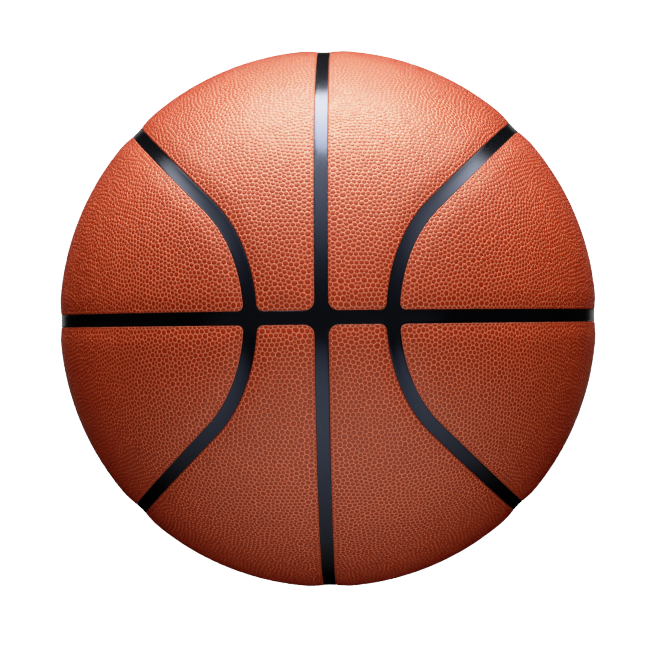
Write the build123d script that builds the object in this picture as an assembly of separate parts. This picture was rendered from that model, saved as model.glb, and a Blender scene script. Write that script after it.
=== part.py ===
from build123d import *
import os
from math import acos, atan2, cos, degrees, radians, sin, tan

# A size 7 basketball. Eight pebbled cover panels on sponge backing lie in the pockets of a moulded rubber
# carcass, between its raised ribs. Inside are a thread winding, a bladder and a plug valve.
# Millimetres, +Z up. The origin is the middle of the ball. The front crossing of the ribs faces -Y, and
# the valve is in the crossing at the back, +Y.

# Whole ball
ball_diameter = 238.5  # a size 7 ball, 749 mm round
cut_overrun = 5.0

# Layers, from the outside in
panel_thickness = 1.6
backing_thickness = 1.6
carcass_wall = 1.4
winding_thickness = 0.8
bladder_wall = 1.2
bond_line = 0.05

# Ribs: one level ring, one upright ring, and a loop round each side of the ball
rib_width = 5.35
seam_gap = 0.1
loop_crossing_distance = 28.2  # round the level ring, from the upright ring to the loop
loop_angle = 45.0  # between the level ring and a loop's straight runs
centre_corner_radius = 4.0  # panel corner where the two rings cross
side_corner_radius = 2.5  # panel corner where a loop crosses the level ring
level_tolerance_share = 0.01  # of a layer's depth, within which an edge is taken to lie on a level

# Valley that the panels fall away into beside every rib
valley_depth = 0.84
valley_half_width = 7.5

# Valve housing, a flanged cup
neck_radius = 4.3
neck_clearance = 0.1
neck_recess = 0.3
flange_radius = 14.0
flange_thickness = 1.5
barrel_radius = 5.6
barrel_length = 13.0
barrel_end_wall = 2.0
barrel_end_round = 2.0
air_hole_clearance = 0.3  # round the pump needle

# Valve plug, which slides in the housing and takes the pump needle
plug_radius = 2.6
plug_length = 15.0
plug_head_radius = 3.3
plug_head_height = 1.0
plug_head_round = 0.3
plug_tip_chamfer = 0.6
plug_clearance = 0.05
needle_radius = 1.2
needle_lead_in = 0.5

# Radii of the layers
ball_radius = ball_diameter / 2
panel_inner = ball_radius - panel_thickness
backing_outer = panel_inner - bond_line
backing_inner = backing_outer - backing_thickness
carcass_outer = backing_inner - bond_line
carcass_inner = carcass_outer - carcass_wall
winding_outer = carcass_inner - bond_line
winding_inner = winding_outer - winding_thickness
bladder_outer = winding_inner - bond_line
bladder_inner = bladder_outer - bladder_wall
rib_radius = ball_radius - valley_depth

# A loop is two straight runs, on great circles through the poles of the Y axis, joined at each end by an
# arc of a small circle. The arc's middle lies on the level ring, and it is tangent to both runs.
run_tilt = radians(loop_angle)
crossing_angle = loop_crossing_distance / ball_radius
arc_middle = atan2(sin(crossing_angle), cos(crossing_angle) - sin(run_tilt))
arc_radius = arc_middle - crossing_angle
run_start = acos(cos(arc_middle) / cos(arc_radius))
arc_half_sweep = degrees(acos(tan(arc_radius) / tan(arc_middle)))
run_sweep = 180 - 2 * degrees(run_start)

run_normal = Vector(-sin(run_tilt), 0, cos(run_tilt))
front_start = Vector(sin(run_start) * cos(run_tilt), -cos(run_start), sin(run_start) * sin(run_tilt))
back_start = Vector(front_start.X, -front_start.Y, front_start.Z)
front_arc_axis = Axis((0, 0, 0), (sin(arc_middle), -cos(arc_middle), 0))
back_arc_axis = Axis((0, 0, 0), (-sin(arc_middle), -cos(arc_middle), 0))

# The valley is one round cove: an arc that is valley_depth below the ball at the rib's middle and comes
# out of the ball at valley_half_width to each side.
valley_angle = valley_half_width / ball_radius
cove_radius = (ball_radius**2 + rib_radius**2 - 2 * ball_radius * rib_radius * cos(valley_angle)) / (
    2 * (ball_radius * cos(valley_angle) - rib_radius)
)
cove_middle = rib_radius + cove_radius

# Half turns that carry a piece from the upper right quarter of the ball to the other quarters
quarter_turns = {
    "upper_right": Rotation(0, 0, 0),
    "lower_right": Rotation(180, 0, 0),
    "lower_left": Rotation(0, 180, 0),
    "upper_left": Rotation(0, 0, 180),
}


def ball(radius):
    # The surface's own seam lies in the upright ring at the back, so no panel is divided by it.
    return Rotation(0, 0, 90) * Sphere(radius)


def loop_wall(offset, inner_radius, outer_radius):
    # A wall that follows the right loop, parallel to the middle of its rib at offset outside the loop.
    foot = run_normal * offset
    front_line = Edge.make_line(foot + front_start * inner_radius, foot + front_start * outer_radius)
    back_line = Edge.make_line(foot + back_start * inner_radius, foot + back_start * outer_radius)
    front = Face.revolve(front_line, 2 * arc_half_sweep, front_arc_axis)
    run = Face.revolve(front_line, run_sweep, Axis(foot, run_normal))
    back = Face.revolve(back_line, 2 * arc_half_sweep, back_arc_axis)
    return Shell([front, run, back])


def quarter_pieces(inner_radius, outer_radius, inset):
    # The upper right quarter of a layer, cut back by inset from the middle of every rib. Gives the piece
    # inside the loop and the piece between the loop and the upright ring.
    reach = outer_radius + cut_overrun
    corner = Pos(inset, -reach, inset) * Box(reach, 2 * reach, reach, align=Align.MIN)
    quarter = ((ball(outer_radius) - ball(inner_radius)) & corner).solid()
    depth = inner_radius - cut_overrun
    side = max(quarter.split(loop_wall(-inset, depth, reach), Keep.ALL), key=lambda s: s.center().X)
    centre = min(quarter.split(loop_wall(inset, depth, reach), Keep.ALL), key=lambda s: s.center().X)
    return side, centre


def corner_edges(piece, inset, layer_depth):
    # Edges that stand through the layer along the level ring, from the upright ring outwards.
    level = layer_depth * level_tolerance_share
    lowest = piece.edges().filter_by(lambda e: abs(e.center().Z - inset) < level)
    return lowest.filter_by(lambda e: e.length < 2 * layer_depth).sort_by(lambda e: abs(e.center().X))


def rounded_pieces(inner_radius, outer_radius, inset, growth):
    # The quarter's two pieces with their corners rounded, the radii larger by growth.
    side, centre = quarter_pieces(inner_radius, outer_radius, inset)
    depth = outer_radius - inner_radius
    side = fillet(corner_edges(side, inset, depth), side_corner_radius + growth)
    corners = corner_edges(centre, inset, depth)
    centre = fillet(corners[:2], centre_corner_radius + growth)
    centre = fillet(corner_edges(centre, inset, depth)[-2:], side_corner_radius + growth)
    return {"side": side, "centre": centre}


def cove_ring(axis_rotation):
    # A cove along a whole ring, its own seam turned to a crossing of the two rings.
    return axis_rotation * Rotation(0, 0, 90) * Torus(cove_middle, cove_radius)


def loop_cove():
    # The cove along the upper run of the right loop and along both its arcs.
    section = Plane(front_start * cove_middle, x_dir=front_start, z_dir=run_normal.cross(front_start))
    back_section = Plane(back_start * cove_middle, x_dir=back_start, z_dir=run_normal.cross(back_start))
    run = revolve(section * Circle(cove_radius), Axis((0, 0, 0), run_normal), run_sweep)
    front = revolve(section * Circle(cove_radius), front_arc_axis, 2 * arc_half_sweep)
    back = revolve(back_section * Circle(cove_radius), back_arc_axis, 2 * arc_half_sweep)
    return run + front + back


def make_panels():
    pieces = rounded_pieces(panel_inner, ball_radius, rib_width / 2 + seam_gap, 0)
    level_cove = cove_ring(Rotation(0, 0, 0))
    upright_cove = cove_ring(Rotation(0, 90, 0))
    beside_loop = loop_cove()
    pieces["side"] = pieces["side"] - level_cove - beside_loop
    pieces["centre"] = pieces["centre"] - upright_cove - level_cove - beside_loop  # longest edge first
    return pieces


def make_backings():
    return rounded_pieces(backing_inner, backing_outer, rib_width / 2 + seam_gap, 0)


def upright_cylinder(radius, bottom, top):
    return Pos(0, 0, bottom) * Cylinder(radius, top - bottom, align=(Align.CENTER, Align.CENTER, Align.MIN))


def along_valve(solid):
    # Turns a solid made along Z so that it lies along the valve's axis, +Y.
    return Rotation(-90, 0, 0) * solid


def layer_with_valve_hole(inner_radius, outer_radius):
    hole = along_valve(upright_cylinder(neck_radius + neck_clearance, 0, ball_radius))
    return ball(outer_radius) - ball(inner_radius) - hole


def make_carcass():
    carcass = layer_with_valve_hole(carcass_inner, rib_radius)
    pockets = rounded_pieces(carcass_outer, ball_radius, rib_width / 2, seam_gap)
    for turn in quarter_turns.values():
        for pocket in pockets.values():
            carcass = carcass - turn * pocket
    return carcass


def make_winding():
    return layer_with_valve_hole(winding_inner, winding_outer)


def make_bladder():
    return layer_with_valve_hole(bladder_inner, bladder_outer)


# Places along the valve's axis, from the middle of the ball
neck_top = rib_radius - neck_recess
flange_top = bladder_inner - bond_line
flange_bottom = flange_top - flange_thickness
barrel_bottom = flange_bottom - barrel_length
plug_seat = neck_top - plug_head_height - plug_clearance
bore_bottom = barrel_bottom + barrel_end_wall


def make_valve_housing():
    flange = (ball(flange_top) - ball(flange_bottom)) & upright_cylinder(flange_radius, 0, flange_top)
    barrel = upright_cylinder(barrel_radius, barrel_bottom, flange_top) & ball(flange_top)
    barrel = fillet(barrel.edges().sort_by(Axis.Z)[0], barrel_end_round)
    housing = flange + barrel + upright_cylinder(neck_radius, flange_bottom, neck_top)
    housing -= upright_cylinder(plug_radius + plug_clearance, bore_bottom, neck_top)
    housing -= upright_cylinder(plug_head_radius + plug_clearance, plug_seat, neck_top)
    housing -= upright_cylinder(needle_radius + air_hole_clearance, barrel_bottom, bore_bottom)
    return along_valve(housing)


def make_valve_plug():
    head_bottom = plug_seat + plug_clearance
    tip = head_bottom - plug_length
    shank = upright_cylinder(plug_radius, tip, head_bottom)
    shank = chamfer(shank.edges().sort_by(Axis.Z)[0], plug_tip_chamfer)
    head = upright_cylinder(plug_head_radius, head_bottom, neck_top)
    head = fillet(head.edges().sort_by(Axis.Z)[-1], plug_head_round)
    mouth_radius = needle_radius + needle_lead_in
    at_top = (Align.CENTER, Align.CENTER, Align.MAX)
    lead_in = Pos(0, 0, neck_top) * Cone(needle_radius, mouth_radius, needle_lead_in, align=at_top)
    return along_valve(shank + head - upright_cylinder(needle_radius, tip, neck_top) - lead_in)


def write(name, piece):
    export_step(piece, f"parts/{name}.step")
    print(name, round(piece.volume, 1))


os.makedirs("parts", exist_ok=True)
for layer, pieces in {"panel": make_panels(), "backing": make_backings()}.items():
    for row, piece in pieces.items():
        for quarter, turn in quarter_turns.items():
            write(f"{row}_{layer}_{quarter}", turn * piece)
write("ribbed_carcass", make_carcass())
write("thread_winding", make_winding())
write("bladder", make_bladder())
write("valve_housing", make_valve_housing())
write("valve_plug", make_valve_plug())
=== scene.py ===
import math

import bmesh
import bpy
import numpy as np
from mathutils import Matrix, Vector
from mathutils.geometry import delaunay_2d_cdt


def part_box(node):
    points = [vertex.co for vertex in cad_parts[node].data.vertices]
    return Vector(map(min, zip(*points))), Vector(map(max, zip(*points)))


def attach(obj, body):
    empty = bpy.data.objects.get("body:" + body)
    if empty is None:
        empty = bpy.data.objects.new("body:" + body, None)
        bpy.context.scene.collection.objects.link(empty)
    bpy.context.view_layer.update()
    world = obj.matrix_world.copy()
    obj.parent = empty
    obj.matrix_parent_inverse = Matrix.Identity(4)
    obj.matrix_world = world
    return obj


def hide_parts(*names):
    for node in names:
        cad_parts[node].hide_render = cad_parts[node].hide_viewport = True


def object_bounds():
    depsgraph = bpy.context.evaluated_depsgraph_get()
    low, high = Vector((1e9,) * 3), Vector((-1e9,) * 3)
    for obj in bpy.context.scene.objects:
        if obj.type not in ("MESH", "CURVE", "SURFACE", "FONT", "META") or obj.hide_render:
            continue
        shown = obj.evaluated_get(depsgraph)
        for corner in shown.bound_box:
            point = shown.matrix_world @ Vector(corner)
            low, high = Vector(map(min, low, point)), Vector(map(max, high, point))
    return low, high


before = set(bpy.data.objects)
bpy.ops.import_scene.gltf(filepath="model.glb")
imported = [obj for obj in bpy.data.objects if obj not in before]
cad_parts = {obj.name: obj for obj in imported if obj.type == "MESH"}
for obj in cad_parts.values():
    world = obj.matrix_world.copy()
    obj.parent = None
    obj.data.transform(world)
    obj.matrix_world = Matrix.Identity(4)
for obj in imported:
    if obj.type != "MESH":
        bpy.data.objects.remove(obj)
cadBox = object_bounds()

# A size 7 basketball: eight pebbled cover panels between the raised ribs of a moulded rubber carcass.
# Metres, +Z up, the middle of the ball at the origin, the front crossing of the ribs towards -Y.

mm = 0.001
quarters = {  # half turns that carry a piece from the upper right quarter, as signs of x, y and z
    "upper_right": np.array((1, 1, 1)),
    "lower_right": np.array((1, -1, -1)),
    "lower_left": np.array((-1, 1, -1)),
    "upper_left": np.array((-1, -1, 1)),
}
rows = ("side", "centre")  # panels inside a loop, and panels between a loop and the upright ring


# Sizes that the frame gives

def placesOf(mesh):
    places = np.empty(len(mesh.vertices) * 3)
    mesh.vertices.foreach_get("co", places)
    return places.reshape(-1, 3)


def radiiOf(node):
    lengths = np.linalg.norm(placesOf(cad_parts[node].data), axis=1)
    return lengths.min(), lengths.max()


panelInner, ballRadius = radiiOf("centre_panel_upper_right")
backingInner, backingOuter = radiiOf("centre_backing_upper_right")
carcassInner = radiiOf("ribbed_carcass")[0]
pocketFloor = backingInner - (panelInner - backingOuter)  # one bond line under the backing
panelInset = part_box("side_panel_upper_right")[0].z  # from the middle of a rib to the panel beside it

ribs = {
    "loopCrossing": 28.2 * mm,  # along the level ring, from the upright ring to a loop
    "runTilt": math.radians(45),  # of a loop's straight runs
    "seamGap": 0.1 * mm,
    "centreCorner": 4.0 * mm,  # panel corner where the rings cross
    "sideCorner": 2.5 * mm,  # panel corner where a loop crosses the level ring
    "valleyDepth": 0.84 * mm,
    "valleyReach": 10.2 * mm,  # from the middle of a rib to where the valley fades out
}
crossingAngle = ribs["loopCrossing"] / ballRadius
arcMiddle = math.atan2(math.sin(crossingAngle), math.cos(crossingAngle) - math.sin(ribs["runTilt"]))
arcRadius = arcMiddle - crossingAngle


# Distances over the ball

def rounded(first, second, radius):
    corner = radius - np.hypot(np.maximum(radius - first, 0), np.maximum(radius - second, 0))
    nearest = np.minimum(first, second)
    return np.where(nearest < radius, corner, nearest)


def panelDepth(row, directions):  # how far inside a panel's outline a direction lies, below 0 outside it
    x, y, z = np.abs(directions).T
    onArc = (x + z) * math.cos(arcMiddle) < y * math.sin(arcMiddle)
    fromAxis = np.arccos(np.clip(x * math.sin(arcMiddle) + y * math.cos(arcMiddle), -1, 1))
    run = z * math.cos(ribs["runTilt"]) - x * math.sin(ribs["runTilt"])
    outsideLoop = ballRadius * np.where(onArc, np.sin(fromAxis - arcRadius), run)
    fromLevel = ballRadius * z - panelInset
    if row == "side":
        return rounded(fromLevel, -outsideLoop - panelInset, ribs["sideCorner"])
    fromUpright = ballRadius * x - panelInset
    atRings = rounded(fromLevel, fromUpright, ribs["centreCorner"])
    atLoop = rounded(fromLevel, outsideLoop - panelInset, ribs["sideCorner"])
    return np.minimum(atRings, atLoop)


def valleyDrop(fromRibMiddle):
    share = np.clip(fromRibMiddle / ribs["valleyReach"], 0, 1)
    return ribs["valleyDepth"] * np.cos(share * math.pi / 2) ** 2


def unit(vectors):
    return vectors / np.linalg.norm(vectors, axis=1, keepdims=True)


def panelAxes(row):  # a panel's middle, and the ways along and across it, as rows
    lean = ribs["runTilt"] / 2 if row == "side" else (ribs["runTilt"] + math.pi / 2) / 2
    return np.array(((math.cos(lean), 0, math.sin(lean)), (0, 1, 0), (-math.sin(lean), 0, math.cos(lean))))


def unroll(row, directions):  # lays the panel flat, round the circle that runs along its middle
    middle, along, across = (directions @ panelAxes(row).T).T
    return np.stack((np.arctan2(along, middle), np.arctanh(across)), axis=1)


def rollUp(row, flat):
    across = np.tanh(flat[:, 1])
    level = np.sqrt(1 - across**2)
    return np.stack((level * np.cos(flat[:, 0]), level * np.sin(flat[:, 0]), across), axis=1) @ panelAxes(row)


def evenly(loop, spacing):
    closed = np.vstack((loop, loop[:1]))
    steps = np.linalg.norm(np.diff(closed, axis=0), axis=1) * ballRadius
    run = np.concatenate(((0,), np.cumsum(steps)))
    marks = np.linspace(0, run[-1], round(run[-1] / spacing), endpoint=False)
    return unit(np.stack([np.interp(marks, run, closed[:, axis]) for axis in range(3)], axis=1))


tracing = {
    "rays": 5000,
    "marks": 320,  # along each ray
    "reach": 1.62,  # of a ray, in radians
    "halvings": 24,
    "step": 0.3 * mm,
}


def panelOutline(row, depth, spacing):  # follows the line at that depth round the upper right panel
    turns = np.linspace(0, 2 * math.pi, tracing["rays"], endpoint=False)
    rays = np.stack((np.cos(turns), np.sin(turns)), axis=1)
    marks = np.linspace(0, tracing["reach"], tracing["marks"])
    places = (rays[:, None, :] * marks[None, :, None]).reshape(-1, 2)
    inside = (panelDepth(row, rollUp(row, places)) > depth).reshape(len(rays), -1)
    leaves = np.argmin(inside, axis=1)
    near, far = marks[leaves - 1], marks[leaves]
    for _ in range(tracing["halvings"]):
        half = (near + far) / 2
        within = panelDepth(row, rollUp(row, rays * half[:, None])) > depth
        near = np.where(within, half, near)
        far = np.where(within, far, half)
    loop = evenly(rollUp(row, rays * near[:, None]), tracing["step"])
    return evenly(slideToDepth(row, loop, depth), spacing)  # a hollow that no ray saw is followed too


def slideToDepth(row, directions, depth, rounds=4, probe=1e-5):
    for _ in range(rounds):
        here = panelDepth(row, directions)
        slope = np.zeros_like(directions)
        for axis in np.eye(3):
            slope += np.outer(panelDepth(row, unit(directions + probe * axis)) - here, axis)
        slope -= directions * np.sum(slope * directions, axis=1, keepdims=True)
        directions = unit(directions + unit(slope) * ((depth - here) / ballRadius)[:, None])
    return directions


def triangulate(points, edges, loops, mergeWithin=1e-8):  # inside the loops, or over all where there are none
    inside = 1 if loops else 0
    made = delaunay_2d_cdt([Vector(point) for point in points], edges, loops, inside, mergeWithin)
    source = [found[0] for found in made[3]]
    return np.array([[source[corner] for corner in face] for face in made[2]])


def hexGrid(low, high, pitch):
    rowStep = pitch * math.sqrt(3) / 2
    grid = []
    for number, level in enumerate(np.arange(low[1], high[1], rowStep)):
        along = np.arange(low[0] + pitch / 2 * (number % 2), high[0], pitch)
        grid.append(np.stack((along, np.full_like(along, level)), axis=1))
    return np.vstack(grid)


def fillPanel(row, loop, pitch, margin, shift=np.copy):  # flat points: the loop's, and a grid's within it
    border = unroll(row, loop)
    depth = panelDepth(row, loop).mean()
    step = pitch / ballRadius
    grid = shift(hexGrid(border.min(axis=0) - step, border.max(axis=0) + step, step))
    directions = rollUp(row, grid)
    ownQuarter = (directions[:, 0] > 0) & (directions[:, 2] > 0)
    return border, grid[ownQuarter & (panelDepth(row, directions) > depth + margin)]


def newMesh(name, places, faces):
    mesh = bpy.data.meshes.new(name)
    mesh.from_pydata(places.tolist(), [], [list(face) for face in faces])
    mesh.update()
    return mesh


def newPiece(name, mesh, material, smooth=True):
    piece = bpy.data.objects.new(name, mesh)
    bpy.context.scene.collection.objects.link(piece)
    mesh.materials.clear()
    mesh.materials.append(material)
    if smooth:
        mesh.shade_smooth()
    return piece


def turnedCopy(mesh, name, signs):
    copy = mesh.copy()
    copy.name = name
    copy.vertices.foreach_set("co", (placesOf(copy) * signs).ravel())
    copy.update()
    return copy


# Nodes

def addNode(tree, kind, inputs=None, **settings):  # links sockets, and sets what isn't a socket
    node = tree.nodes.new(kind)
    for name, value in settings.items():
        setattr(node, name, value)
    for name, value in (inputs or {}).items():
        if isinstance(value, bpy.types.NodeSocket):
            tree.links.new(value, node.inputs[name])
        else:
            node.inputs[name].default_value = value
    return node


def linear(hexColour):
    channels = [int(hexColour[start:start + 2], 16) / 255 for start in (1, 3, 5)]
    return tuple(c / 12.92 if c <= 0.04045 else ((c + 0.055) / 1.055) ** 2.4 for c in channels) + (1,)


def emptyMaterial(name):
    material = bpy.data.materials.new(name)
    material.use_nodes = True
    material.node_tree.nodes.clear()
    return material, material.node_tree


def newMaterial(name):
    material, tree = emptyMaterial(name)
    shader = addNode(tree, "ShaderNodeBsdfPrincipled")
    addNode(tree, "ShaderNodeOutputMaterial", {"Surface": shader.outputs["BSDF"]})
    return material, tree, shader


def setRamp(node, stops):
    ramp = node.color_ramp
    while len(ramp.elements) < len(stops):
        ramp.elements.new(1)
    for element, (place, colour) in zip(ramp.elements, stops):
        element.position = place
        element.color = colour if isinstance(colour, tuple) else (colour, colour, colour, 1)


def perMetre(size):  # a noise's scale for features of that size
    return 1 / size


leather = {
    "net": "#f98862",  # channels between the pebbles
    "flank": "#821902",
    "crown": "#972805",
    "netUpTo": 0.2,  # share of a pebble's height
    "flankAt": 0.55,
    "patchSize": 35 * mm,
    "pebbleSize": 2 * mm,
    "toneNoise": (0.6, 1.4),  # patches and pebbles together
    "toneGiven": (0.9, 1.1),  # lightness for that
    "grainSize": 0.18 * mm,
    "grainDetail": 2.0,
    "grainNoise": (0.3, 0.7),
    "grainRoughness": 0.1,  # from the finest grain, up and down
    "grainBump": 0.25,
    "grainDepth": 0.05 * mm,
    "netRoughness": 0.42,
    "crownRoughness": 0.33,
    "polishFrom": (0.1, 0.6),  # heights between which the one becomes the other
    "ior": 1.56,
    "glossTint": "#fff1dc",
}


def compositeLeather():
    # Microfibre composite, embossed and coated: satin red-brown pebbles, paler in the channels between them
    material, tree, shader = newMaterial("pebbledCompositeLeather")
    where = addNode(tree, "ShaderNodeTexCoord").outputs["Object"]
    height = addNode(tree, "ShaderNodeAttribute", attribute_name="pebbleHeight").outputs["Fac"]
    dye = addNode(tree, "ShaderNodeValToRGB", {"Fac": height})
    setRamp(dye, ((0.0, linear(leather["net"])), (leather["netUpTo"], linear(leather["net"])),
                  (leather["flankAt"], linear(leather["flank"])), (1.0, linear(leather["crown"]))))
    patches = addNode(tree, "ShaderNodeTexNoise", {"Vector": where, "Scale": perMetre(leather["patchSize"])})
    tones = addNode(tree, "ShaderNodeTexNoise", {"Vector": where, "Scale": perMetre(leather["pebbleSize"])})
    tone = addNode(tree, "ShaderNodeMath", {0: patches.outputs["Fac"], 1: tones.outputs["Fac"]},
                   operation="ADD")
    shade = addNode(tree, "ShaderNodeMapRange", {
        "Value": tone.outputs[0], "From Min": leather["toneNoise"][0], "From Max": leather["toneNoise"][1],
        "To Min": leather["toneGiven"][0], "To Max": leather["toneGiven"][1]})
    dyed = addNode(tree, "ShaderNodeHueSaturation",
                   {"Color": dye.outputs["Color"], "Value": shade.outputs[0]})
    grain = addNode(tree, "ShaderNodeTexNoise", {
        "Vector": where, "Scale": perMetre(leather["grainSize"]), "Detail": leather["grainDetail"]})
    polish = addNode(tree, "ShaderNodeMapRange", {
        "Value": height, "From Min": leather["polishFrom"][0], "From Max": leather["polishFrom"][1],
        "To Min": leather["netRoughness"], "To Max": leather["crownRoughness"]})
    dull = addNode(tree, "ShaderNodeMapRange", {
        "Value": grain.outputs["Fac"],
        "From Min": leather["grainNoise"][0], "From Max": leather["grainNoise"][1],
        "To Min": -leather["grainRoughness"], "To Max": leather["grainRoughness"]})
    rough = addNode(tree, "ShaderNodeMath", {0: polish.outputs[0], 1: dull.outputs[0]}, operation="ADD")
    bump = addNode(tree, "ShaderNodeBump", {
        "Height": grain.outputs["Fac"], "Strength": leather["grainBump"], "Distance": leather["grainDepth"]})
    tree.links.new(dyed.outputs["Color"], shader.inputs["Base Color"])
    tree.links.new(rough.outputs[0], shader.inputs["Roughness"])
    tree.links.new(bump.outputs["Normal"], shader.inputs["Normal"])
    shader.inputs["IOR"].default_value = leather["ior"]
    shader.inputs["Specular Tint"].default_value = linear(leather["glossTint"])
    return material


rubber = {
    "black": "#030304",
    "grey": "#090a0e",
    "greyFrom": (0.3, 0.8),  # values of the noise between which black turns grey
    "roughness": (0.16, 0.22),
    "valve": ("#101115", (0.35, 0.5)),  # tint and roughness
    "bladder": ("#0e0e0e", (0.5, 0.7)),
    "grainSize": 0.6 * mm,
    "grainDetail": 3.0,
    "grainNoise": (0.3, 0.7),
    "grainBump": 0.12,
    "grainDepth": 0.05 * mm,
    "ior": 1.6,
    "glossTint": "#c9d8ff",
}


def mouldedRubber(name, tint=rubber["black"], roughness=rubber["roughness"]):
    # Black rubber from a polished mould: satin, with a faint unevenness that softens what it reflects
    material, tree, shader = newMaterial(name)
    where = addNode(tree, "ShaderNodeTexCoord").outputs["Object"]
    grain = addNode(tree, "ShaderNodeTexNoise", {
        "Vector": where, "Scale": perMetre(rubber["grainSize"]), "Detail": rubber["grainDetail"]})
    dye = addNode(tree, "ShaderNodeValToRGB", {"Fac": grain.outputs["Fac"]})
    setRamp(dye, ((rubber["greyFrom"][0], linear(tint)), (rubber["greyFrom"][1], linear(rubber["grey"]))))
    rough = addNode(tree, "ShaderNodeMapRange", {
        "Value": grain.outputs["Fac"],
        "From Min": rubber["grainNoise"][0], "From Max": rubber["grainNoise"][1],
        "To Min": roughness[0], "To Max": roughness[1]})
    bump = addNode(tree, "ShaderNodeBump", {
        "Height": grain.outputs["Fac"], "Strength": rubber["grainBump"], "Distance": rubber["grainDepth"]})
    tree.links.new(dye.outputs["Color"], shader.inputs["Base Color"])
    tree.links.new(rough.outputs[0], shader.inputs["Roughness"])
    tree.links.new(bump.outputs["Normal"], shader.inputs["Normal"])
    shader.inputs["IOR"].default_value = rubber["ior"]
    shader.inputs["Specular Tint"].default_value = linear(rubber["glossTint"])
    return material


sponge = {
    "pale": "#d8d0bb",
    "deep": "#b8ad94",
    "paleFrom": 0.5,  # share of a cell's size out from its middle
    "cellSize": 0.5 * mm,
    "cellBump": 0.5,
    "cellDepth": 0.2 * mm,
    "roughness": 0.92,
}


def spongeSheet():
    # Closed-cell sponge: matt and pale, with fine open cells where it was skived
    material, tree, shader = newMaterial("closedCellSponge")
    where = addNode(tree, "ShaderNodeTexCoord").outputs["Object"]
    cells = addNode(tree, "ShaderNodeTexVoronoi", {"Vector": where, "Scale": perMetre(sponge["cellSize"])})
    dye = addNode(tree, "ShaderNodeValToRGB", {"Fac": cells.outputs["Distance"]})
    setRamp(dye, ((0.0, linear(sponge["deep"])), (sponge["paleFrom"], linear(sponge["pale"]))))
    bump = addNode(tree, "ShaderNodeBump", {
        "Height": cells.outputs["Distance"], "Strength": sponge["cellBump"], "Distance": sponge["cellDepth"]})
    tree.links.new(dye.outputs["Color"], shader.inputs["Base Color"])
    tree.links.new(bump.outputs["Normal"], shader.inputs["Normal"])
    shader.inputs["Roughness"].default_value = sponge["roughness"]
    return material


thread = {
    "pale": "#e2ddcf",
    "latex": "#b9a67f",
    "paleFrom": (0.35, 0.8),  # values of the wave between which latex turns to thread
    "spacing": 0.8 * mm,
    "layers": ((0.4, 0.2, 0.0), (1.1, -0.5, 0.7), (-0.6, 0.9, 1.8)),  # turns of the three layers, in radians
    "wander": 1.5,
    "wanderDetail": 1.0,
    "strandBump": 0.6,
    "strandDepth": 0.2 * mm,
    "roughness": 0.55,
}
waveLength = 2 * math.pi / 20  # of the wave texture at scale 1


def woundNylon():
    # Nylon thread dipped in latex: pale strands lying several ways, with amber latex between them
    material, tree, shader = newMaterial("latexDippedNylonThread")
    where = addNode(tree, "ShaderNodeTexCoord").outputs["Object"]
    strands = []
    for turn in thread["layers"]:
        turned = addNode(tree, "ShaderNodeMapping", {"Vector": where, "Rotation": turn})
        strands.append(addNode(tree, "ShaderNodeTexWave", {
            "Vector": turned.outputs["Vector"], "Scale": perMetre(thread["spacing"]) * waveLength,
            "Distortion": thread["wander"], "Detail": thread["wanderDetail"]},
            wave_type="BANDS").outputs["Fac"])
    upper = addNode(tree, "ShaderNodeMath", {0: strands[0], 1: strands[1]}, operation="MAXIMUM")
    top = addNode(tree, "ShaderNodeMath", {0: upper.outputs[0], 1: strands[2]}, operation="MAXIMUM")
    dye = addNode(tree, "ShaderNodeValToRGB", {"Fac": top.outputs[0]})
    setRamp(dye, ((thread["paleFrom"][0], linear(thread["latex"])),
                  (thread["paleFrom"][1], linear(thread["pale"]))))
    bump = addNode(tree, "ShaderNodeBump", {
        "Height": top.outputs[0], "Strength": thread["strandBump"], "Distance": thread["strandDepth"]})
    tree.links.new(dye.outputs["Color"], shader.inputs["Base Color"])
    tree.links.new(bump.outputs["Normal"], shader.inputs["Normal"])
    shader.inputs["Roughness"].default_value = thread["roughness"]
    return material


leatherMaterial = compositeLeather()
ribMaterial = mouldedRubber("mouldedRibRubber")
valveMaterial = mouldedRubber("mouldedValveRubber", *rubber["valve"])
bladderMaterial = mouldedRubber("butylRubber", *rubber["bladder"])
spongeMaterial = spongeSheet()
threadMaterial = woundNylon()
print("materials made")


# Cover panels

pebbles = {
    "pitch": 1.95 * mm,
    "bends": 5,  # waves, each its own way, that the rows wander in
    "bend": 0.6 * mm,  # how far to each side
    "bendLength": 34 * mm,
    "unevenness": 0.42,  # share of the pitch that each pebble's middle is off its row
    "relaxing": 5,  # rounds that even the pebbles out again
    "leastToRim": 0.7,  # share of the pitch from the rim's pebbles, which it cuts in half, to the next ones
    "shoulderShare": 0.8,
    "crownShare": 0.62,
    "shoulderHeight": 0.22 * mm,
    "crownHeight": 0.03 * mm,  # above the shoulder
    "heightSpread": 0.2,  # share of a pebble's height, up or down
    "shoulderMark": 0.6,  # heights that the leather's colour and finish go by
    "crownMark": 1.0,
    "seed": 11,
}
panelEdge = {
    # depth inside the outline, and drop below the valley's own surface, from the rim outwards
    "steps": ((0.12 * mm, 0.0), (0.04 * mm, 0.04 * mm),
              (-0.02 * mm, 0.12 * mm), (-0.09 * mm, 0.25 * mm)),
    "dye": 0.55,  # the rim and the cut side are as dark as a pebble's flank
    "undersidePitch": 6 * mm,
}
channelRadius = ballRadius - pebbles["shoulderHeight"]  # so the pebbles' tops lie about at the frame's face


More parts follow.
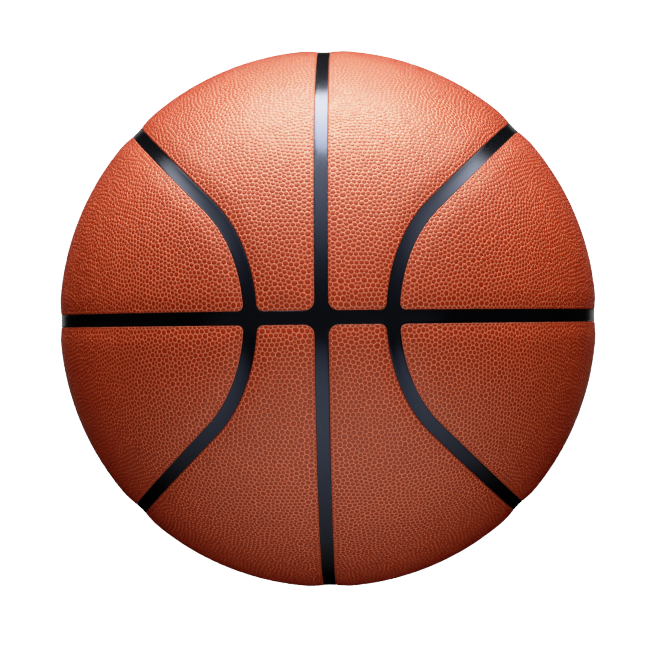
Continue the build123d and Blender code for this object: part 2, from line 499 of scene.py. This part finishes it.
def pebbleTree():
    tree = bpy.data.node_groups.new("pebbleGrain", "GeometryNodeTree")
    sockets = {"Geometry": "Geometry", "Shoulder Share": "Float", "Crown Share": "Float",
               "Shoulder Height": "Float", "Crown Height": "Float", "Height Spread": "Float",
               "Seed": "Int", "Material": "Material"}
    for name, kind in sockets.items():
        tree.interface.new_socket(name, in_out="INPUT", socket_type="NodeSocket" + kind)
    tree.interface.new_socket("Geometry", in_out="OUTPUT", socket_type="NodeSocketGeometry")
    given = addNode(tree, "NodeGroupInput").outputs
    cells = addNode(tree, "GeometryNodeDualMesh", {"Mesh": given["Geometry"], "Keep Boundaries": True})
    least = addNode(tree, "ShaderNodeMath", {0: 1.0, 1: given["Height Spread"]}, operation="SUBTRACT")
    most = addNode(tree, "ShaderNodeMath", {0: 1.0, 1: given["Height Spread"]}, operation="ADD")
    spread = addNode(tree, "FunctionNodeRandomValue", {2: least.outputs[0], 3: most.outputs[0],
                                                       "Seed": given["Seed"]}, data_type="FLOAT")
    surface = addNode(tree, "GeometryNodeStoreNamedAttribute",
                      {"Geometry": cells.outputs["Dual Mesh"], "Name": "pebbleHeight", "Value": 0.0},
                      data_type="FLOAT", domain="POINT").outputs["Geometry"]
    chosen = True
    for rise, share, mark in (("Shoulder Height", "Shoulder Share", pebbles["shoulderMark"]),
                              ("Crown Height", "Crown Share", pebbles["crownMark"])):
        lift = addNode(tree, "ShaderNodeMath", {0: given[rise], 1: spread.outputs[1]}, operation="MULTIPLY")
        raised = addNode(tree, "GeometryNodeExtrudeMesh", {
            "Mesh": surface, "Selection": chosen, "Offset Scale": lift.outputs[0], "Individual": True})
        chosen = raised.outputs["Top"]
        drawnIn = addNode(tree, "GeometryNodeScaleElements", {
            "Geometry": raised.outputs["Mesh"], "Selection": chosen, "Scale": given[share]})
        surface = addNode(tree, "GeometryNodeStoreNamedAttribute", {
            "Geometry": drawnIn.outputs["Geometry"], "Selection": chosen, "Name": "pebbleHeight",
            "Value": mark}, data_type="FLOAT", domain="POINT").outputs["Geometry"]
    smooth = addNode(tree, "GeometryNodeSetShadeSmooth", {"Geometry": surface})
    real = addNode(tree, "GeometryNodeRealizeInstances", {"Geometry": smooth.outputs["Geometry"]})
    dressed = addNode(tree, "GeometryNodeSetMaterial",
                      {"Geometry": real.outputs["Geometry"], "Material": given["Material"]})
    addNode(tree, "NodeGroupOutput", {"Geometry": dressed.outputs["Geometry"]})
    return tree


def applyTree(piece, tree, values):
    modifier = piece.modifiers.new(tree.name, "NODES")
    modifier.node_group = tree
    for socket in tree.interface.items_tree:
        if socket.in_out == "INPUT" and socket.name in values:
            modifier[socket.identifier] = values[socket.name]
    graph = bpy.context.evaluated_depsgraph_get()
    mesh = bpy.data.meshes.new_from_object(
        piece.evaluated_get(graph), preserve_all_data_layers=True, depsgraph=graph)
    piece.modifiers.remove(modifier)
    return mesh


def bent(grid, rng):  # rows that wander in long waves, each pebble a little off its row
    waves = 2 * math.pi * ballRadius / pebbles["bendLength"]
    moved = grid + rng.uniform(-1, 1, grid.shape) * pebbles["unevenness"] * pebbles["pitch"] / ballRadius
    for turn in rng.uniform(0, 2 * math.pi, pebbles["bends"]):
        ahead = np.array((math.cos(turn), math.sin(turn)))
        swing = pebbles["bend"] / ballRadius * np.sin(grid @ ahead * waves + turn)
        moved += np.outer(swing, (-ahead[1], ahead[0]))  # to the side, so that the pebbles aren't crowded
    return moved


def pebbleMiddles(row):  # triangles whose corners are the middles of the pebbles
    rng = np.random.default_rng(pebbles["seed"])
    pitch = pebbles["pitch"]
    rim = panelOutline(row, panelEdge["steps"][0][0], pitch)
    border, inner = fillPanel(row, rim, pitch, pebbles["leastToRim"] * pitch, lambda grid: bent(grid, rng))
    points = np.vstack((border, inner))
    loop = list(range(len(border)))
    for _ in range(pebbles["relaxing"]):
        faces = triangulate(points, [], [loop])
        corners = points[faces]
        sides = corners[:, 1:] - corners[:, :1]
        area = np.abs(sides[:, 0, 0] * sides[:, 1, 1] - sides[:, 0, 1] * sides[:, 1, 0])
        total = np.zeros(len(points))
        moment = np.zeros_like(points)
        for corner in faces.T:
            np.add.at(total, corner, area)
            np.add.at(moment, corner, corners.mean(axis=1) * area[:, None])
        points[len(border):] = (moment / total[:, None])[len(border):]
    faces = triangulate(points, [], [loop])
    directions = rollUp(row, points)
    radius = channelRadius - valleyDrop(panelDepth(row, directions) + panelInset)
    return newMesh(f"{row}PebbleMiddles", directions * radius[:, None], faces)


def closePanel(row, mesh):  # rounds the edge over, then adds the cut side and the underside
    body = bmesh.new()
    body.from_mesh(mesh)
    height = body.verts.layers.float["pebbleHeight"]
    rim = [edge for edge in body.edges if edge.is_boundary]
    steps = [(depth, channelRadius - valleyDrop(depth + panelInset) - drop)
             for depth, drop in panelEdge["steps"][1:]]
    for depth, radius in steps + [(steps[-1][0], panelInner)]:
        made = bmesh.ops.extrude_edge_only(body, edges=rim)["geom"]
        corners = [item for item in made if isinstance(item, bmesh.types.BMVert)]
        rim = [item for item in made if isinstance(item, bmesh.types.BMEdge) and item.is_boundary]
        for face in [item for item in made if isinstance(item, bmesh.types.BMFace)]:
            face.smooth = radius != panelInner
        directions = slideToDepth(row, unit(np.array([corner.co for corner in corners])), depth)
        for corner, place in zip(corners, directions * radius):
            corner.co = place
            corner[height] = panelEdge["dye"]
    flat = unroll(row, directions)
    order = np.argsort(np.arctan2(flat[:, 1], flat[:, 0]))
    pitch = panelEdge["undersidePitch"]
    border, inner = fillPanel(row, directions[order], pitch, pitch / 2)
    points = np.vstack((border, inner))
    under = [corners[number] for number in order]
    under += [body.verts.new(place) for place in rollUp(row, inner) * panelInner]
    for face in triangulate(points, [], [list(range(len(border)))]):
        body.faces.new([under[corner] for corner in face[::-1]])
    bmesh.ops.recalc_face_normals(body, faces=body.faces)
    body.to_mesh(mesh)
    body.free()
    mesh.update()


panelMap = {  # where each side of a panel lies, as shares of the texture's width and height
    "faceWidth": 0.93,
    "faceHeight": 0.47,  # of one half
    "faceLeft": 0.01,
    "frontLevel": 0.26,
    "backLevel": 0.75,
    "undersideMiddle": (0.975, 0.3),
    "undersideReach": 0.02,
    "cutMiddle": 0.5,
    "cutWidth": 0.98,
    "cutTop": 0.995,
    "cutHeight": 0.008,
    "undersideWithin": 0.1 * mm,  # how near the inner radius a corner counts as on it
}


def mapPanel(row, mesh):  # the front and back halves of the face one above the other, the rest in the margins
    places = placesOf(mesh)
    corners = np.empty(len(mesh.loops), int)
    mesh.loops.foreach_get("vertex_index", corners)
    counts = np.empty(len(mesh.polygons), int)
    mesh.polygons.foreach_get("loop_total", counts)
    face = np.repeat(np.arange(len(counts)), counts)
    flat = unroll(row, unit(places))[corners]
    radius = np.linalg.norm(places, axis=1)[corners]
    starts = np.concatenate(((0,), np.cumsum(counts)[:-1]))
    low = np.minimum.reduceat(radius, starts)[face]
    high = np.maximum.reduceat(radius, starts)[face]
    back = (np.bincount(face, flat[:, 0]) > 0)[face]
    reach = np.abs(flat).max(axis=0)
    scale = min(panelMap["faceWidth"] / reach[0], panelMap["faceHeight"] / (2 * reach[1]))
    u = panelMap["faceLeft"] + np.abs(flat[:, 0]) * scale
    v = np.where(back, panelMap["backLevel"], panelMap["frontLevel"]) + flat[:, 1] * scale
    nearInner = panelInner + panelMap["undersideWithin"]
    underneath = high < nearInner
    shrink = panelMap["undersideReach"] / reach[1]
    u = np.where(underneath, panelMap["undersideMiddle"][0] + flat[:, 1] * shrink, u)
    v = np.where(underneath, panelMap["undersideMiddle"][1] + flat[:, 0] * shrink, v)
    cut = (low < nearInner) & ~underneath
    around = np.arctan2(flat[:, 1], flat[:, 0]) / (2 * math.pi)
    upTheCut = (radius - panelInner) / (ballRadius - panelInner)
    u = np.where(cut, panelMap["cutMiddle"] + around * panelMap["cutWidth"], u)
    v = np.where(cut, panelMap["cutTop"] - upTheCut * panelMap["cutHeight"], v)
    layer = mesh.uv_layers.new(name="OFBake")
    layer.data.foreach_set("uv", np.stack((u, v), axis=1).astype(np.float32).ravel())


grainTree = pebbleTree()
for row in rows:
    blank = newPiece(f"{row}PanelBlank", pebbleMiddles(row), leatherMaterial)
    panelMesh = applyTree(blank, grainTree, {
        "Shoulder Share": pebbles["shoulderShare"], "Crown Share": pebbles["crownShare"],
        "Shoulder Height": pebbles["shoulderHeight"], "Crown Height": pebbles["crownHeight"],
        "Height Spread": pebbles["heightSpread"], "Seed": pebbles["seed"], "Material": leatherMaterial})
    bpy.data.objects.remove(blank)
    closePanel(row, panelMesh)
    mapPanel(row, panelMesh)
    for quarter, signs in quarters.items():
        node = f"{row}_panel_{quarter}"
        panel = newPiece(f"pebbled_{node}", turnedCopy(panelMesh, node, signs), leatherMaterial, smooth=False)
        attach(panel, "ball")
        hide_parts(node)
    print(row, "panels:", len(panelMesh.polygons), "faces each")


# Sponge backings

backing = {
    "pitch": 5 * mm,
    "edgePitch": 3 * mm,
    # depth inside the outline, and drop below the outer radius, from the face outwards
    "edgeSteps": ((0.8 * mm, 0.0), (0.25 * mm, 0.08 * mm), (0.0, 0.3 * mm)),
}


def wallFaces(upper, lower, count):  # between two loops of corners, given by the first of each
    faces = []
    for corner in range(count):
        after = (corner + 1) % count
        faces.append([upper + corner, lower + corner, lower + after, upper + after])
    return faces


def backingMesh(row):
    outline = panelOutline(row, 0, backing["edgePitch"])
    border, inner = fillPanel(row, slideToDepth(row, outline, backing["edgeSteps"][0][0]),
                              backing["pitch"], backing["pitch"] / 2)
    count = len(border)
    faces = triangulate(np.vstack((border, inner)), [], [list(range(count))])
    rings = [slideToDepth(row, outline, depth) * (backingOuter - drop)
             for depth, drop in backing["edgeSteps"]]
    rings.append(outline * backingInner)
    inside = rollUp(row, inner)
    places = np.vstack([rings[0], inside * backingOuter] + rings[1:] + [inside * backingInner])
    starts = [0] + [count + len(inner) + number * count for number in range(len(rings) - 1)]
    allFaces = [list(face) for face in faces]
    for upper, lower in zip(starts, starts[1:]):
        allFaces += wallFaces(upper, lower, count)
    lastRing = np.arange(starts[-1], starts[-1] + count)
    under = np.concatenate((lastRing, np.arange(len(places) - len(inner), len(places))))
    allFaces += [list(under[face[::-1]]) for face in faces]
    return newMesh(f"{row}Backing", places, allFaces)


for row in rows:
    backingForm = backingMesh(row)
    for quarter, signs in quarters.items():
        node = f"{row}_backing_{quarter}"
        pad = newPiece(f"sponge_{node}", turnedCopy(backingForm, node, signs), spongeMaterial)
        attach(pad, "ball")
        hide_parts(node)
print("sponge backings made")


# Ribbed carcass

carcass = {
    "spacing": 0.9 * mm,
    "rowsIn": (0.05 * mm, 0.12 * mm, 0.9 * mm, 1.6 * mm),  # from a rib's edge
    "edgeRound": 0.12 * mm,
    "floorPitch": 5 * mm,
    "valveHole": 4.4 * mm,
    "valveRings": (0.15 * mm, 0.5 * mm, 1.2 * mm),  # out from the hole's edge
    "valveCorners": 56,
    "loopFrom": 2,  # spacings above the level ring where the middle of a loop starts
    "sharpFrom": math.radians(40),  # angle past which an edge is left sharp
}
offPole = (0.3, 0.5, 0.8)  # along none of the poles that spread is given


def spread(directions, pole):  # stereographic, from a pole inside a panel or hole
    side = np.cross(pole, offPole)
    side /= np.linalg.norm(side)
    other = np.cross(pole, side)
    return np.stack((directions @ side, directions @ other), axis=1) / (1 - directions @ pole)[:, None]


def fromValve(directions):  # distance from the valve's axis at the back, a whole metre at the front
    return np.where(directions[:, 1] > 0, np.hypot(directions[:, 0], directions[:, 2]) * ballRadius, 1)


def ribRadiusAt(directions):
    depth = np.maximum(panelDepth("side", directions), panelDepth("centre", directions))
    edge = np.maximum(carcass["edgeRound"] - np.maximum(-depth - ribs["seamGap"], 0), 0)
    lip = np.clip(carcass["edgeRound"] - np.maximum(fromValve(directions) - carcass["valveHole"], 0), 0, None)
    edge = np.maximum(edge, lip)
    rounding = carcass["edgeRound"] - np.sqrt(carcass["edgeRound"] ** 2 - edge**2)
    return ballRadius - valleyDrop(np.maximum(panelInset + depth, 0)) - rounding


def circleAt(radius, count):  # round the valve
    turns = np.linspace(0, 2 * math.pi, count, endpoint=False)
    flat = np.stack((np.cos(turns), np.sin(turns)), axis=1) * radius / ballRadius
    return np.stack((flat[:, 0], np.sqrt(1 - (flat**2).sum(axis=1)), flat[:, 1]), axis=1)


def ribMiddles():  # points along the middles of the two rings and the two loops
    turns = np.linspace(0, 2 * math.pi, round(2 * math.pi * ballRadius / carcass["spacing"]), endpoint=False)
    level = np.stack((np.cos(turns), np.sin(turns), 0 * turns), axis=1)
    upright = np.stack((0 * turns, np.cos(turns), np.sin(turns)), axis=1)
    loop = panelOutline("side", -panelInset, carcass["spacing"])
    loop = loop[loop[:, 2] > carcass["loopFrom"] * carcass["spacing"] / ballRadius]
    return np.vstack([level, upright] + [loop * signs for signs in quarters.values()])


def carcassMesh():
    edges, extra = [], []
    for row in rows:
        edge = panelOutline(row, -ribs["seamGap"], carcass["spacing"])
        inRows = [panelOutline(row, -ribs["seamGap"] - inset, carcass["spacing"])
                  for inset in carcass["rowsIn"]]
        for signs in quarters.values():
            edges.append(edge * signs)
            extra += [line * signs for line in inRows]
    extra = np.vstack(extra + [ribMiddles()])
    reach = carcass["valveHole"] + carcass["valveRings"][-1] + carcass["spacing"] / 2
    extra = extra[fromValve(extra) > reach]
    hole = circleAt(carcass["valveHole"], carcass["valveCorners"])
    rings = [circleAt(carcass["valveHole"] + out, carcass["valveCorners"]) for out in carcass["valveRings"]]
    loops = edges + [hole]
    starts = np.concatenate(((0,), np.cumsum([len(loop) for loop in loops])))
    directions = np.vstack(loops + [extra] + rings)
    lines = []
    for start, loop in zip(starts, loops):
        lines += [(start + number, start + (number + 1) % len(loop)) for number in range(len(loop))]
    lines = [(int(first), int(second)) for first, second in lines]
    faces = triangulate(spread(directions, panelAxes("side")[0]), lines, [])
    middles = unit(directions[faces].mean(axis=1))
    depth = np.maximum(panelDepth("side", middles), panelDepth("centre", middles))
    faces = faces[(depth < -ribs["seamGap"]) & (fromValve(middles) > carcass["valveHole"])]
    places = [directions * ribRadiusAt(directions)[:, None]]
    allFaces = [list(face) for face in faces]
    count = len(directions)
    pockets = [(row, signs) for row in rows for signs in quarters.values()]
    for (row, signs), loop, top in zip(pockets, edges, starts):  # the pockets' walls and floors
        border, inner = fillPanel(row, loop * signs, carcass["floorPitch"], carcass["floorPitch"] / 2)
        flat = np.vstack((border, inner))
        floor = triangulate(flat, [], [list(range(len(border)))])
        places.append(rollUp(row, flat) * signs * pocketFloor)
        allFaces += [list(face + count) for face in floor]
        allFaces += wallFaces(count, top, len(loop))
        count += len(flat)
    pole = np.array((0.0, 1.0, 0.0))
    inner = innerPoints(carcass["floorPitch"])
    inner = inner[fromValve(inner) > reach]
    lining = np.vstack((hole, inner))
    lines = [(number, (number + 1) % len(hole)) for number in range(len(hole))]
    faces = triangulate(spread(lining, pole), lines, [])
    outsideHole = fromValve(unit(lining[faces].mean(axis=1))) > carcass["valveHole"]
    allFaces += [list(face[::-1] + count) for face in faces[outsideHole]]
    places.append(lining * carcassInner)
    allFaces += wallFaces(starts[len(edges)], count, len(hole))
    return newMesh("ribbedCarcass", np.vstack(places), allFaces)


def innerPoints(pitch):  # spread evenly over a ball by the golden angle
    count = round(4 * math.pi * carcassInner**2 / (pitch**2 * math.sqrt(3) / 2))
    level = 1 - (2 * np.arange(count) + 1) / count
    turn = np.arange(count) * math.pi * (3 - math.sqrt(5))
    out = np.sqrt(1 - level**2)
    return np.stack((out * np.cos(turn), level, out * np.sin(turn)), axis=1)


def tidyCarcass(mesh):
    body = bmesh.new()
    body.from_mesh(mesh)
    loose = [corner for corner in body.verts if not corner.link_faces]
    bmesh.ops.delete(body, geom=loose, context="VERTS")
    bmesh.ops.recalc_face_normals(body, faces=body.faces)
    for face in body.faces:
        face.smooth = True
    for edge in body.edges:
        if len(edge.link_faces) == 2 and edge.calc_face_angle() > carcass["sharpFrom"]:
            edge.smooth = False
    print("carcass open edges:", sum(1 for edge in body.edges if len(edge.link_faces) != 2))
    body.to_mesh(mesh)
    body.free()


carcassForm = carcassMesh()
tidyCarcass(carcassForm)
ribbed = newPiece("ribbed_rubber_carcass", carcassForm, ribMaterial, smooth=False)
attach(ribbed, "ball")
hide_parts("ribbed_carcass")
print("carcass:", len(carcassForm.polygons), "faces")


# Pieces whose shape the frame already has

for node, material in {"thread_winding": threadMaterial, "bladder": bladderMaterial,
                       "valve_housing": valveMaterial, "valve_plug": valveMaterial}.items():
    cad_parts[node].data.materials.clear()
    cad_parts[node].data.materials.append(material)
print("inner pieces dressed")


# Studio

studio = {
    "floorSize": (8.0, 8.0),
    "domeRadius": 7.0,
    "domeFineness": 4,
    "paperGlow": 3.2,
    "softboxSize": (0.85, 0.64),
    "softboxPlace": (0, -0.06, 1.0),
    "softboxRadiance": 9.9,
    "lightTint": "#fffdfa",
    # radiance of the scrim in front of the ball and beside it, against the sine of the height in the sky
    "scrim": ((0.0, 0.14), (0.15, 0.2), (0.36, 0.4), (0.5, 0.85), (0.61, 1.3), (0.71, 1.8), (0.87, 2.6)),
    "scrimLift": (-0.33, 0.03),  # how far round towards +Y the scrim brightens
    "scrimLifted": 2.6,  # times what it is in front
    "scrimBack": (0.2, 0.38),  # how far round towards +Y the scrim fades out
    "scrimBehind": 0.015,  # share of it that is left there
    "scrimSides": (0.71, 0.77),  # how far round towards X, either way, the scrim fades
    "scrimBeside": 0.03,  # share of it that is left there
    "scrimSlant": (0.88, 1.12),  # share of it on the left and on the right
    "backGlow": 0.32,  # radiance of the paper straight behind the ball
    "backGlowFrom": (0.86, 0.94),  # how far round towards +Y it starts
    "backGlowHeight": (0.22, 0.34),  # how far up and down it fades
    "frontFillSize": (0.8, 0.3),
    "frontFillPlace": (0.05, -1.4, 0),
    "frontFillRadiance": 1.1,
    "backFillSize": (0.5, 0.5),
    "backFillPlace": (0, 1.3, -0.25),
    "backFillRadiance": 5.0,
    "bounceSize": (2.0, 2.0),
    "bounceDrop": 0.06,  # how far under the ball the paper that lights it from below lies
    "poolMiddle": (0.04, -0.28),
    "poolNarrowing": 1.8,  # how much sooner the pool fades along X than along Y
    # radiance of the painted pool of light that glows on that paper, against the distance from its middle
    "pool": ((0.0, 1.4), (0.2, 1.2), (0.38, 0.9), (0.55, 0.65), (0.8, 0.3), (0.95, 0.0)),
    # share of it that the painted shadow of the ball leaves, against Y
    "shade": ((-0.24, 1.0), (-0.17, 0.83), (-0.09, 0.42), (-0.03, 0.12), (0.0, 0.04), (0.03, 0.0)),
    # what the camera makes of light, scene to picture: a short toe, straight, then a soft shoulder
    "film": ((0.0, 0.0), (0.0117, 0.0062), (0.0235, 0.0165), (0.047, 0.041), (0.1, 0.098), (0.2, 0.2),
             (0.45, 0.45), (0.8, 0.71), (1.2, 0.86), (1.9, 0.95), (3.0, 1.0)),
}


def stagePiece(name, mesh, material):
    piece = newPiece(name, mesh, material)
    return piece


def plane(name, size, middle, level):
    corners = [(middle[0] + x * size[0] / 2, middle[1] + y * size[1] / 2, level)
               for x, y in ((-1, -1), (1, -1), (1, 1), (-1, 1))]
    return newMesh(name, np.array(corners), [(0, 1, 2, 3)])


def whitePaper(name, glow):  # bright enough to come out white in the picture
    material, tree = emptyMaterial(name)
    shine = addNode(tree, "ShaderNodeEmission", {"Strength": glow})
    addNode(tree, "ShaderNodeOutputMaterial", {"Surface": shine.outputs[0]})
    return material


def addCurve(tree, value, points):  # straight from point to point
    low, high = points[0][0], points[-1][0]
    top = max(tone for _, tone in points)
    share = addNode(tree, "ShaderNodeMapRange", {"Value": value, "From Min": low, "From Max": high})
    ramp = addNode(tree, "ShaderNodeValToRGB", {"Fac": share.outputs[0]})
    setRamp(ramp, [((place - low) / (high - low), tone / top) for place, tone in points])
    scaled = addNode(tree, "ShaderNodeMath", {0: ramp.outputs["Color"], 1: top}, operation="MULTIPLY")
    return scaled.outputs[0]


def paintedPoolGlowPaper():  # glows with a painted pool of light, with the ball's painted shadow across it
    material, tree = emptyMaterial("paintedPoolGlowPaper")
    where = addNode(tree, "ShaderNodeTexCoord").outputs["Object"]
    out = addNode(tree, "ShaderNodeVectorMath", {0: where, 1: studio["poolMiddle"] + (0,)},
                  operation="SUBTRACT")
    flat = addNode(tree, "ShaderNodeVectorMath", {0: out.outputs[0], 1: (studio["poolNarrowing"], 1, 0)},
                   operation="MULTIPLY")
    away = addNode(tree, "ShaderNodeVectorMath", {0: flat.outputs[0]}, operation="LENGTH")
    along = addNode(tree, "ShaderNodeSeparateXYZ", {0: where})
    pool = addCurve(tree, away.outputs["Value"], studio["pool"])
    # painted shadow of the ball: the pool fades out towards and behind the ball
    shade = addCurve(tree, along.outputs["Y"], studio["shade"])
    both = addNode(tree, "ShaderNodeMath", {0: pool, 1: shade}, operation="MULTIPLY")
    shine = addNode(tree, "ShaderNodeEmission",
                    {"Color": linear(studio["lightTint"]), "Strength": both.outputs[0]})
    addNode(tree, "ShaderNodeOutputMaterial", {"Surface": shine.outputs[0]})
    return material


def onlySeen(piece):  # by the camera, so that it lights and shades nothing
    piece.visible_diffuse = False
    piece.visible_glossy = False
    piece.visible_transmission = False
    piece.visible_shadow = False


floorLevel = cadBox[0].z
seenPaper = whitePaper("whitePaper", studio["paperGlow"])
seenFloor = stagePiece("paleFloor", plane("paleFloor", studio["floorSize"], (0, 0), floorLevel), seenPaper)
onlySeen(seenFloor)
# An emissive card under the ball that the camera doesn't see: its painted pool of light and painted shadow of
# the ball stand in for light bounced up from the floor
bounceLevel = floorLevel - studio["bounceDrop"]
bounceMesh = plane("paintedPoolGlowCard", studio["bounceSize"], studio["poolMiddle"], bounceLevel)
paintedPoolGlowCard = stagePiece("paintedPoolGlowCard", bounceMesh, paintedPoolGlowPaper())
paintedPoolGlowCard.visible_camera = False
domeMesh = bpy.data.meshes.new("backdrop")
domeForm = bmesh.new()
bmesh.ops.create_icosphere(domeForm, subdivisions=studio["domeFineness"], radius=studio["domeRadius"])
domeForm.to_mesh(domeMesh)
domeForm.free()
dome = stagePiece("backdrop", domeMesh, seenPaper)
onlySeen(dome)


def areaLight(name, size, place, radiance):  # faces the ball
    lamp = bpy.data.lights.new(name, "AREA")
    lamp.shape = "RECTANGLE"
    lamp.size, lamp.size_y = size
    lamp.energy = radiance * math.pi * lamp.size * lamp.size_y
    lamp.color = linear(studio["lightTint"])[:3]
    holder = bpy.data.objects.new(name, lamp)
    bpy.context.scene.collection.objects.link(holder)
    holder.location = place
    holder.rotation_euler = (-Vector(place)).to_track_quat("-Z", "Y").to_euler()
    holder.visible_camera = False
    return holder


areaLight("overheadSoftbox", studio["softboxSize"], studio["softboxPlace"], studio["softboxRadiance"])
for fill in ("frontFill", "backFill"):  # soft enough to leave no glint
    holder = areaLight(fill, studio[fill + "Size"], studio[fill + "Place"], studio[fill + "Radiance"])
    holder.visible_glossy = False

world = bpy.data.worlds.new("studioScrim")
world.use_nodes = True
sky = world.node_tree
sky.nodes.clear()
facing = addNode(sky, "ShaderNodeSeparateXYZ", {0: addNode(sky, "ShaderNodeTexCoord").outputs["Generated"]})
rightward, backward, upward = (facing.outputs[axis] for axis in "XYZ")
aside = addNode(sky, "ShaderNodeMath", {0: rightward}, operation="ABSOLUTE").outputs[0]
upOrDown = addNode(sky, "ShaderNodeMath", {0: upward}, operation="ABSOLUTE").outputs[0]
slantReach = studio["scrimSides"][0]
fades = {  # what each goes by, where it starts and ends, and its values there
    "lift": (backward, studio["scrimLift"], (1.0, studio["scrimLifted"])),
    "back": (backward, studio["scrimBack"], (1.0, studio["scrimBehind"])),
    "sides": (aside, studio["scrimSides"], (1.0, studio["scrimBeside"])),
    "slant": (rightward, (-slantReach, slantReach), studio["scrimSlant"]),
    "paper": (backward, studio["backGlowFrom"], (0.0, studio["backGlow"])),
    "paperHeight": (upOrDown, studio["backGlowHeight"], (1.0, 0.0)),
}
faded = {}
for name, (value, reach, given) in fades.items():
    faded[name] = addNode(sky, "ShaderNodeMapRange", {
        "Value": value, "From Min": reach[0], "From Max": reach[1],
        "To Min": given[0], "To Max": given[1]}).outputs[0]
scrim = addCurve(sky, upward, studio["scrim"])
for name in ("lift", "back", "sides", "slant"):
    scrim = addNode(sky, "ShaderNodeMath", {0: scrim, 1: faded[name]}, operation="MULTIPLY").outputs[0]
backPaper = addNode(sky, "ShaderNodeMath", {0: faded["paper"], 1: faded["paperHeight"]}, operation="MULTIPLY")
radiance = addNode(sky, "ShaderNodeMath", {0: scrim, 1: backPaper.outputs[0]}).outputs[0]
glow = addNode(sky, "ShaderNodeBackground", {"Color": linear(studio["lightTint"]), "Strength": radiance})
addNode(sky, "ShaderNodeOutputWorld", {"Surface": glow.outputs[0]})
bpy.context.scene.world = world


# Camera, from the ball's turn in the picture

shot = {
    "yaw": math.radians(-1.229),
    "pitch": math.radians(-0.234),
    "roll": math.radians(-0.653),
    "distance": 7 * ballRadius,
    "outlineRadius": 268.3,  # pixels
    "ballMiddle": (328.0, 318.65),  # pixels
    "pictureSize": 650,  # pixels
    "sensor": 36,  # mm
    "farthest": 50,
}
turn = Matrix.Rotation(shot["roll"], 3, "Y") @ Matrix.Rotation(shot["pitch"], 3, "X")
right, forward, up = turn @ Matrix.Rotation(shot["yaw"], 3, "Z")
lens = bpy.data.cameras.new("photoCamera")
camera = bpy.data.objects.new("photoCamera", lens)
bpy.context.scene.collection.objects.link(camera)
towardsBall = Matrix((right, up, -forward)).transposed().to_4x4()
camera.matrix_world = Matrix.Translation(-forward * shot["distance"]) @ towardsBall
focalPixels = shot["outlineRadius"] * math.sqrt((shot["distance"] / ballRadius) ** 2 - 1)
lens.sensor_width = shot["sensor"]
lens.lens = focalPixels / shot["pictureSize"] * shot["sensor"]
lens.shift_x = (shot["pictureSize"] / 2 - shot["ballMiddle"][0]) / shot["pictureSize"]
lens.shift_y = (shot["ballMiddle"][1] - shot["pictureSize"] / 2) / shot["pictureSize"]
lens.clip_end = shot["farthest"]
bpy.context.scene.camera = camera
view = bpy.context.scene.view_settings
view.view_transform = "Standard"
view.use_curve_mapping = True
view.curve_mapping.clip_max_x = studio["film"][-1][0]
filmPoints = view.curve_mapping.curves[3].points  # the curve for all three colours
filmPoints[-1].location = studio["film"][-1]
for place in studio["film"][1:-1]:
    filmPoints.new(*place)
view.curve_mapping.update()
print("studio and camera set")
